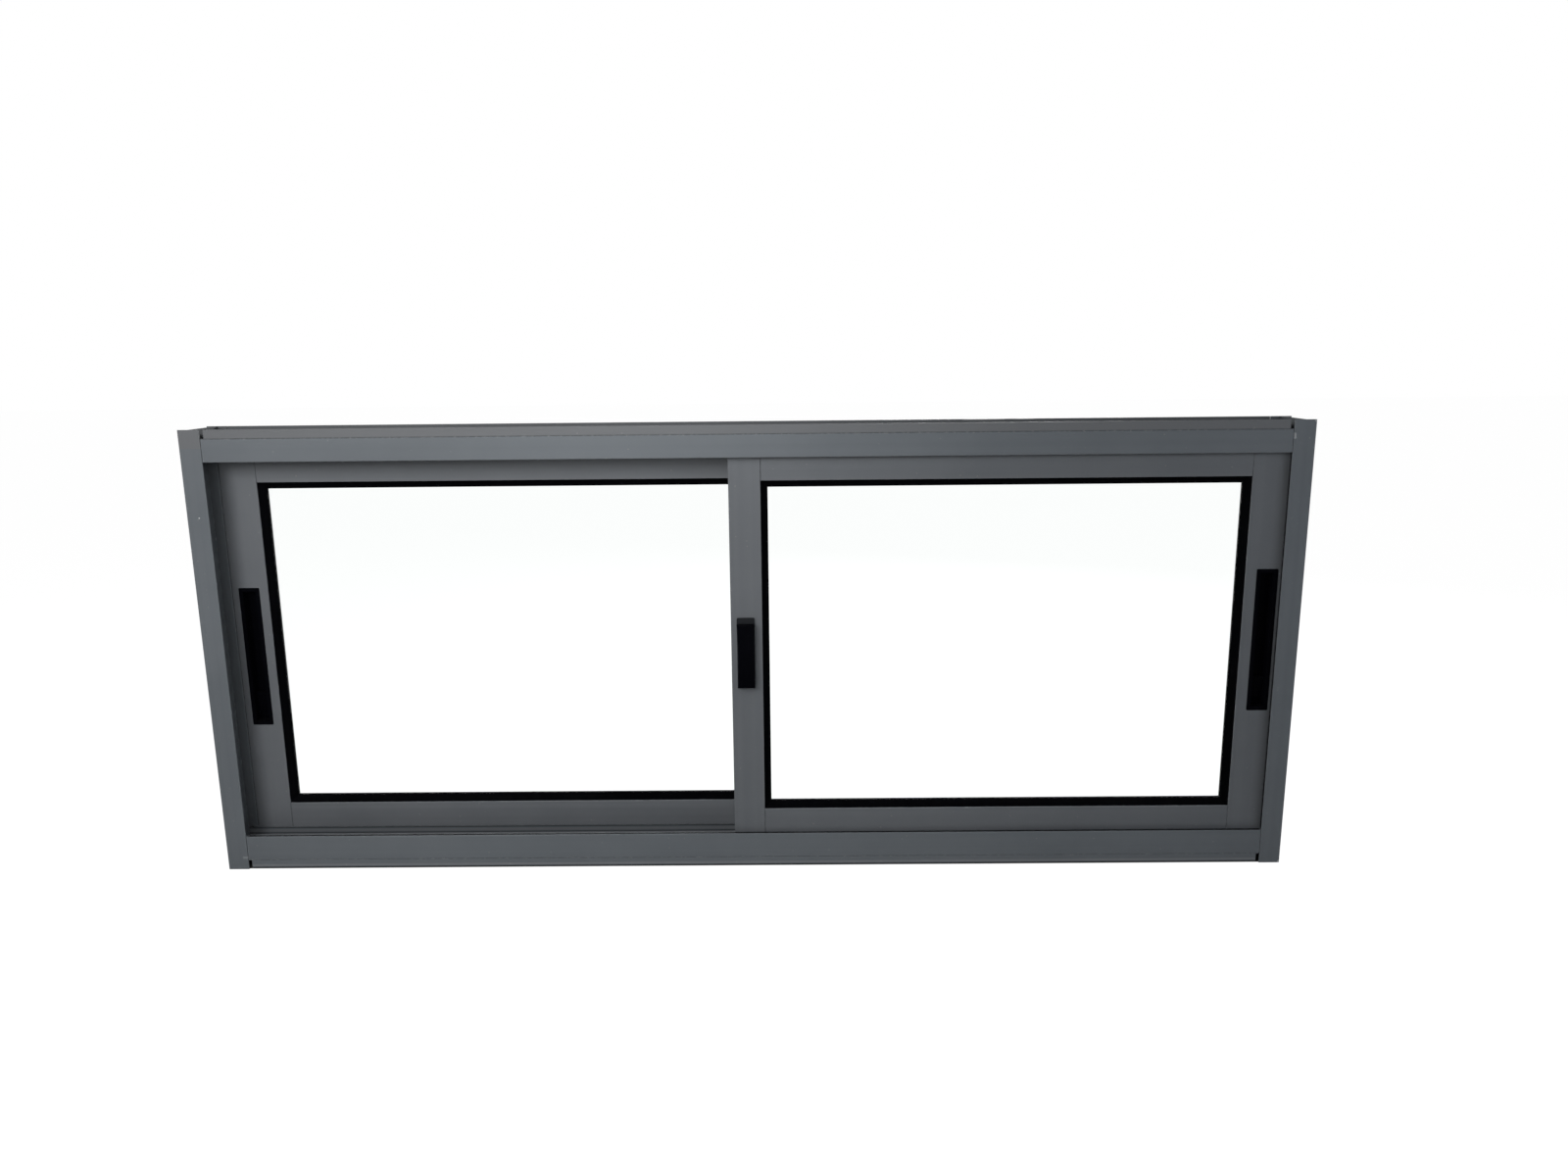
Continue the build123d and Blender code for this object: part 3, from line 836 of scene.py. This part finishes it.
@dataclass
class PanHeadScrew:
    """A cross-recessed screw that holds a jamb to the head or the sill.

    The dome gives the head's outline as shares of its radius and of its height.
    """

    name: str
    seat: Vector
    side: Side
    head_radius: float = 3.9 * MM
    head_height: float = 2.5 * MM
    dome: tuple[Pair, ...] = ((1.0, 0.42), (0.96, 0.68), (0.86, 0.9))
    flat_radius: float = 2.7 * MM
    recess_half_width: float = 2.25 * MM
    recess_corner: float = 0.8
    recess_depth: float = 1.3 * MM
    recess_taper: float = 0.62
    shank_radius: float = 1.9 * MM
    shank_length: float = 1.4 * MM
    cells: int = 5
    steps: int = 24
    weld: float = 0.0025 * MM

    def build(self, steel: bpy.types.Material) -> bpy.types.Object:
        """Builds the head with its recess and the start of its shank.

        Args:
            steel: the plated steel's finish.

        Returns:
            The piece.
        """
        mesh = bmesh.new()
        rim = self.turn_head(mesh)
        self.press_recess(mesh, rim)
        bmesh.ops.recalc_face_normals(mesh, faces=mesh.faces)
        turned = Matrix.Rotation(self.side.value * math.pi / 2, 4, "Y")
        bmesh.ops.transform(mesh, matrix=Matrix.Translation(self.seat) @ turned, verts=mesh.verts)
        return finish_piece(mesh, self.name, steel)

    def turn_head(self, mesh: bmesh.types.BMesh) -> list[bmesh.types.BMEdge]:
        """Spins the pan head's outline round its axis.

        Args:
            mesh: the mesh to fill.

        Returns:
            The open rim round the head's flat.
        """
        outline = [(self.shank_radius, -self.shank_length), (self.shank_radius, 0.0), (self.head_radius, 0.0)]
        outline += [(self.head_radius * wide, self.head_height * high) for wide, high in self.dome]
        outline.append((self.flat_radius, self.head_height))
        verts = [mesh.verts.new((radius, 0.0, height)) for radius, height in outline]
        edges = [mesh.edges.new(pair) for pair in zip(verts, verts[1:])]
        bmesh.ops.spin(mesh, geom=verts + edges, cent=(0, 0, 0), axis=(0, 0, 1), angle=2 * math.pi,
                       steps=self.steps, use_merge=True)
        bmesh.ops.remove_doubles(mesh, verts=mesh.verts, dist=self.weld)
        ends = [edge for edge in mesh.edges if edge.is_boundary]
        bottom = [edge for edge in ends if edge.verts[0].co.z < 0]
        bmesh.ops.holes_fill(mesh, edges=bottom, sides=0)
        return [edge for edge in ends if edge.verts[0].co.z > 0]

    def press_recess(self, mesh: bmesh.types.BMesh, rim: list[bmesh.types.BMEdge]) -> None:
        """Closes the flat round a grid and presses the grid's cross of cells down.

        Args:
            mesh: the mesh with the turned head.
            rim: the open edge round the flat.
        """
        half, arm = self.recess_half_width, self.recess_half_width / self.cells
        made = bmesh.ops.create_grid(mesh, x_segments=self.cells, y_segments=self.cells, size=half,
                                     matrix=Matrix.Translation((0, 0, self.head_height)))
        faces = unique(face for vert in made["verts"] for face in vert.link_faces)
        outer = unique(edge for face in faces for edge in face.edges if edge.is_boundary)
        corners = [vert for vert in made["verts"] if min(abs(vert.co.x), abs(vert.co.y)) > half - arm]
        bmesh.ops.scale(mesh, vec=(self.recess_corner, self.recess_corner, 1.0), verts=corners)
        bmesh.ops.triangle_fill(mesh, use_beauty=True, normal=(0, 0, 1), edges=outer + rim)
        middles = [(face, face.calc_center_median()) for face in faces]
        cross = [face for face, middle in middles if min(abs(middle.x), abs(middle.y)) < arm]
        pressed = bmesh.ops.extrude_face_region(mesh, geom=cross)
        lowered = [item for item in pressed["geom"] if isinstance(item, bmesh.types.BMVert)]
        bmesh.ops.translate(mesh, verts=lowered, vec=(0, 0, -self.recess_depth))
        bmesh.ops.scale(mesh, vec=(self.recess_taper, self.recess_taper, 1.0), verts=lowered)
        kept = [face for face in cross if face.is_valid]
        bmesh.ops.delete(mesh, geom=kept, context="FACES")


@dataclass
class FrameMembers:
    """Head, sill and jambs, with the seals and screws that they carry."""

    # painted light: the heights above which the head and the jambs get a lighter, warmer top band
    painted_top_light_height: float = 490.0 * MM
    jamb_painted_top_light_height: float = 480.0 * MM
    track_edge: float = 30.2 * MM
    screw_spacing: float = 34.0 * MM
    screw_inset: float = 8.1 * MM
    web_depth: float = 10.5 * MM
    seals: tuple[str, ...] = ("sill_front_seal", "sill_middle_seal", "head_front_seal", "head_middle_seal",
                              "left_jamb_seal", "right_jamb_seal")
    head_marks: tuple[WornPlace, ...] = (
        WornPlace((0.262, 0.0300, 0.500), (0.026, 0.0030, 0.0009), 700.0, 0.6),
        WornPlace((0.306, 0.0300, 0.500), (0.012, 0.0030, 0.0007), 900.0, 0.5),
    )
    left_marks: tuple[WornPlace, ...] = (
        WornPlace((-0.5872, -0.0313, 0.4060), (0.0007, 0.0012, 0.0007), 300.0, 0.8),
        WornPlace((-0.5787, -0.0313, 0.0142), (0.0050, 0.0010, 0.0016), 900.0, 0.12),
    )
    right_marks: tuple[WornPlace, ...] = (
        WornPlace((0.5783, -0.0313, 0.4830), (0.0012, 0.0012, 0.0036), 700.0, 0.25),
        WornPlace((0.5993, -0.0313, 0.4992), (0.0012, 0.0014, 0.0016), 700.0, 0.4),
        WornPlace((0.5990, -0.0313, 0.0012), (0.0016, 0.0014, 0.0018), 700.0, 0.3),
    )
    # lines of painted shade and painted highlight along the head, the sill and the sill's tracks
    stripes: tuple[Stripe, ...] = (
        Stripe("Z", 490.3 * MM, 0.9 * MM, PAINTED_SHADE_AND_SEAM, 0.35),
        Stripe("Z", 2.1 * MM, 1.0 * MM, PAINTED_SHADE_AND_SEAM, 0.9),
        Stripe("Z", 4.8 * MM, 1.4 * MM, PAINTED_HIGHLIGHT, 0.6),
        Stripe("Z", 37.2 * MM, 0.9 * MM, PAINTED_SHADE_AND_SEAM, 0.75, in_track=True),
        Stripe("Z", 33.6 * MM, 2.4 * MM, PAINTED_HIGHLIGHT, 0.25, in_track=True),
        Stripe("Z", 30.6 * MM, 0.8 * MM, PAINTED_SHADE_AND_SEAM, 0.6, in_track=True),
        Stripe("Z", 29.0 * MM, 0.9 * MM, PAINTED_HIGHLIGHT, 0.6, in_track=True),
        Stripe("Z", 27.2 * MM, 1.0 * MM, PAINTED_SHADE_AND_SEAM, 0.7, in_track=True),
    )

    def build(self, effects: Effects) -> None:
        """Dresses the four members and adds their seals and screws.

        Args:
            effects: the shared effect groups.
        """
        edge = self.track_edge
        across = CoatedAluminium("frame coating across", Draw.ALONG_X, painted_top_light_above=self.painted_top_light_height,
                                 worn_places=self.head_marks, track_edge=edge, stripes=self.stripes)
        left = CoatedAluminium("frame coating left", Draw.ALONG_Z, painted_top_light_above=self.jamb_painted_top_light_height,
                               worn_places=self.left_marks, track_edge=edge)
        right = CoatedAluminium("frame coating right", Draw.ALONG_Z, worn_places=self.right_marks,
                                track_edge=edge)
        for nodes, coating in ((("head", "sill"), across), (("left_jamb",), left), (("right_jamb",), right)):
            dress(nodes, coating.build(effects))
        pile = Moulded("black pile", (0.0025, 0.0025, 0.003), (0.008, 0.008, 0.009), roughness=0.85,
                       specular=0.01, relief=0.0, wear=0.0, dust=0.1).build(effects)
        for node in self.seals:
            BrushSeal(node).build(pile)
        self.drive_screws(PlatedSteel().build(effects))

    def drive_screws(self, steel: bpy.types.Material) -> None:
        """Puts one screw in each hole of the jambs' webs.

        Args:
            steel: the plated steel's finish.
        """
        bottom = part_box("sill")[0].z + self.screw_inset
        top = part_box("head")[1].z - self.screw_inset
        for side, jamb in ((Side.LEFT, "left_jamb"), (Side.RIGHT, "right_jamb")):
            low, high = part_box(jamb)
            outer = low.x if side is Side.LEFT else high.x
            face = outer - side.value * self.web_depth
            for level, height in (("low", bottom), ("high", top)):
                for place, row in (("front", -1), ("rear", 1)):
                    seat = Vector((face, row * self.screw_spacing / 2, height))
                    PanHeadScrew(f"{jamb}_screw_{level}_{place}", seat, side).build(steel)


@dataclass
class SashFinishes:
    """The finishes that both sashes share."""

    colour: Colour = (0.099, 0.106, 0.115)
    pale: Colour = (0.132, 0.139, 0.149)
    seam_half_width: float = 0.7 * MM
    seam_cover: float = 0.65

    def build(self, effects: Effects) -> dict[str, bpy.types.Material]:
        """Makes the finishes, with a dark seam at each end of the rails.

        Args:
            effects: the shared effect groups.

        Returns:
            The materials by the part that they dress.
        """
        seams = tuple(Stripe("X", corner.x, self.seam_half_width, PAINTED_SHADE_AND_SEAM, self.seam_cover)
                      for rail in ("front_sash_top_rail", "rear_sash_top_rail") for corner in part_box(rail))
        tones = {"colour": self.colour, "pale": self.pale}
        finishes = {
            "across": CoatedAluminium("sash coating across", Draw.ALONG_X, stripes=seams, **tones),
            "upright": CoatedAluminium("sash coating upright", Draw.ALONG_Z, **tones),
            "glass": ClearGlass(),
            "gasket": Moulded("black gasket", (0.0011, 0.0012, 0.0016), (0.004, 0.004, 0.005),
                              roughness=0.6, specular=0.002, grain=1200.0, dust=0.05),
            "carriage": Moulded("roller carriage", (0.05, 0.05, 0.055), (0.12, 0.12, 0.12)),
            "wheel": Moulded("nylon wheel", (0.55, 0.54, 0.5), (0.3, 0.29, 0.26)),
            "guide": Moulded("head guide", (0.03, 0.03, 0.033), (0.09, 0.09, 0.09)),
            "black": Moulded("black satin plastic", (0.0011, 0.0012, 0.0020), (0.004, 0.004, 0.006),
                             roughness=0.42, specular=0.006, dust=0.1),
        }
        return {part: finish.build(effects) for part, finish in finishes.items()}


@dataclass
class Sash:
    """One glazed sash with its rollers, guides and flush pull."""

    prefix: str
    finishes: dict[str, bpy.types.Material]

    def build(self) -> None:
        """Dresses every node of the sash."""
        groups = (
            (("top_rail", "bottom_rail"), "across", "frame_grey"),
            (("lock_stile", "meeting_stile"), "upright", "frame_grey"),
            (("glass",), "glass", "glass"),
            (("gasket",), "gasket", "gasket"),
            (("roller_carriage_left", "roller_carriage_right"), "carriage", "carriage"),
            (("roller_wheel_left", "roller_wheel_right"), "wheel", "wheel"),
            (("top_guide_left", "top_guide_right"), "guide", "guide"),
            (("pull", "latch_trigger"), "black", "black_plastic"),
        )
        for parts, finish, slot in groups:
            dress([f"{self.prefix}_{part}" for part in parts], self.finishes[finish])


@dataclass
class Latch:
    """The latch on the front meeting stile."""

    base_colour: Colour = (0.011, 0.012, 0.014)
    base_rubbed: Colour = (0.024, 0.025, 0.028)
    base_roughness: float = 0.4
    base_specular: float = 0.05

    def build(self, black: bpy.types.Material, effects: Effects) -> None:
        """Dresses the lever and its base plate.

        Args:
            black: the lever's black plastic.
            effects: the shared effect groups.
        """
        grey = Moulded("latch grey", self.base_colour, self.base_rubbed, roughness=self.base_roughness,
                       specular=self.base_specular)
        dress(("latch_base",), grey.build(effects))
        dress(("latch_lever",), black)


# Studio


@dataclass(frozen=True)
class SoftLamp:
    """A square lamp that is turned towards a point and can't be seen itself."""

    name: str
    place: Triple
    size: float
    power: float
    aim: Triple
    colour: Colour = (1.0, 1.0, 1.0)

    def hang(self) -> None:
        """Adds the lamp to the scene."""
        lamp = bpy.data.lights.new(self.name, "AREA")
        lamp.shape = "SQUARE"
        lamp.size = self.size
        lamp.energy = self.power
        lamp.color = self.colour
        holder = add_object(self.name, lamp)
        holder.visible_camera = False
        holder.location = self.place
        away = Vector(self.aim) - Vector(self.place)
        holder.rotation_euler = away.to_track_quat("-Z", "Y").to_euler()


@dataclass
class Studio:
    """White floor, white surround, lamps and camera."""

    window_box: tuple[Vector, Vector]
    floor_reach: float = 12.0
    floor_cells: int = 8
    floor_colour: Colour = (0.35, 0.35, 0.35)
    floor_glow: float = 0.985
    shadow_colour: Colour = (0.12, 0.12, 0.12)
    # how far in from the window's outline the painted shade under it starts
    painted_shade_inset: float = 1.6 * MM
    surround_light: float = 0.06
    surround_tint: Colour = (0.96, 0.98, 1.0)
    lamps: tuple[SoftLamp, ...] = (
        SoftLamp("key", (-0.8, -0.9, 0.8), 0.4, 7.3, (0.0, 0.0, 0.25)),
        SoftLamp("near", (-0.08, -0.4, 0.72), 0.25, 1.1, (-0.08, 0.0, 0.45)),
        SoftLamp("flat", (-0.25, -1.0, 0.56), 0.5, 2.7, (-0.25, 0.0, 0.4)),
        SoftLamp("right", (0.95, -0.7, 0.65), 0.4, 0.8, (0.6, 0.0, 0.4), (0.86, 0.92, 1.0)),
        SoftLamp("far right", (1.35, -0.62, 0.65), 0.4, 1.8, (0.6, 0.0, 0.4), (0.86, 0.92, 1.0)),
        SoftLamp("rear", (0.5, 1.4, 1.0), 0.6, 20.0, (0.0, 0.0, 0.25)),
    )
    camera_place: Triple = (0.0483, -1.221, 0.57377)
    camera_lens: float = 25.754
    camera_pitch: float = 0.20684
    camera_yaw: float = -0.00753
    camera_roll: float = 0.01004

    def build(self) -> None:
        """Sets up everything that isn't the window."""
        self.lay_floor()
        self.light_surround()
        for lamp in self.lamps:
            lamp.hang()
        self.stand_camera()
        bpy.context.scene.view_settings.view_transform = "Standard"

    def seen_rays(self, kit: NodeKit) -> Socket:
        """Tells the rays that show the background from those that carry light.

        Args:
            kit: the node kit of the floor or the world.

        Returns:
            The socket that is 1 for the rays that show it.
        """
        path = kit.add("ShaderNodeLightPath").outputs
        straight = kit.math("MAXIMUM", path["Is Camera Ray"], path["Is Glossy Ray"])
        return kit.math("MAXIMUM", straight, path["Is Transmission Ray"])

    def lay_floor(self) -> None:
        """Lays a wide floor that looks white, keeps a faint shadow and has painted shade under the window."""
        mesh = bmesh.new()
        bmesh.ops.create_grid(mesh, x_segments=self.floor_cells, y_segments=self.floor_cells,
                              size=self.floor_reach)
        data = bpy.data.meshes.new("floor")
        mesh.to_mesh(data)
        mesh.free()
        material = bpy.data.materials.new("white floor")
        material.use_nodes = True
        kit = NodeKit(material.node_tree)
        kit.tree.nodes.clear()
        plain = kit.add("ShaderNodeBsdfDiffuse", {"Color": (*self.floor_colour, 1.0)}).outputs[0]
        faint = kit.add("ShaderNodeBsdfDiffuse", {"Color": (*self.shadow_colour, 1.0)}).outputs[0]
        glow = kit.add("ShaderNodeEmission", {"Strength": self.open_floor(kit)}).outputs[0]
        seen = kit.add("ShaderNodeAddShader", {0: faint, 1: glow}).outputs[0]
        both = kit.add("ShaderNodeMixShader", {0: self.seen_rays(kit), 1: plain, 2: seen}).outputs[0]
        kit.add("ShaderNodeOutputMaterial", {"Surface": both})
        data.materials.append(material)
        add_object("floor", data)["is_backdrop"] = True

    def open_floor(self, kit: NodeKit) -> Socket:
        """Makes the floor's glow: full strength in the open, and none under the window, which paints shade
        there.

        Args:
            kit: the node kit of the floor.

        Returns:
            The glow's socket.
        """
        low, high = self.window_box
        place = kit.add("ShaderNodeTexCoord").outputs["Object"]
        parts = kit.add("ShaderNodeSeparateXYZ", {0: place}).outputs
        # painted shade: the patch under the window where the floor doesn't glow
        painted_shade_patch: Any = 1.0
        for axis in (0, 1):
            for edge, beyond in ((low[axis] + self.painted_shade_inset, "GREATER_THAN"),
                                 (high[axis] - self.painted_shade_inset, "LESS_THAN")):
                painted_shade_patch = kit.math("MULTIPLY", painted_shade_patch, kit.math(beyond, parts[axis], edge))
        return kit.math("SUBTRACT", self.floor_glow, painted_shade_patch)

    def light_surround(self) -> None:
        """Makes the world white to the eye and a soft fill as light."""
        world = bpy.data.worlds.new("surround")
        bpy.context.scene.world = world
        world.use_nodes = True
        kit = NodeKit(world.node_tree)
        kit.tree.nodes.clear()
        white = kit.add("ShaderNodeBackground", {"Color": (1.0, 1.0, 1.0, 1.0), "Strength": 1.0}).outputs[0]
        fill = kit.add("ShaderNodeBackground", {"Color": (*self.surround_tint, 1.0),
                                                "Strength": self.surround_light}).outputs[0]
        both = kit.add("ShaderNodeMixShader", {0: self.seen_rays(kit), 1: fill, 2: white}).outputs[0]
        kit.add("ShaderNodeOutputWorld", {"Surface": both})

    def stand_camera(self) -> None:
        """Stands the camera at the photograph's viewing angle."""
        data = bpy.data.cameras.new("camera")
        data.lens = self.camera_lens
        camera = add_object("camera", data)
        ahead = Vector((math.sin(self.camera_yaw) * math.cos(self.camera_pitch),
                        math.cos(self.camera_yaw) * math.cos(self.camera_pitch),
                        -math.sin(self.camera_pitch)))
        right = Vector((math.cos(self.camera_yaw), -math.sin(self.camera_yaw), 0.0))
        down = ahead.cross(right)
        tilt, level = math.sin(self.camera_roll), math.cos(self.camera_roll)
        rolled_right = level * right + tilt * down
        rolled_down = -tilt * right + level * down
        turned = Matrix((rolled_right, -rolled_down, -ahead)).transposed()
        camera.matrix_world = Matrix.Translation(self.camera_place) @ turned.to_4x4()
        bpy.context.scene.camera = camera


def main() -> None:
    """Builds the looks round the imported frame."""
    logging.basicConfig(level=logging.INFO, format="%(name)s: %(message)s")
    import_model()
    packed_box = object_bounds()
    effects = Effects.build()
    finishes = SashFinishes().build(effects)
    FrameMembers().build(effects)
    for prefix in ("front_sash", "rear_sash"):
        Sash(prefix, finishes).build()
    Latch().build(finishes["black"], effects)
    Studio(packed_box).build()


if __name__ == "__main__":
    main()
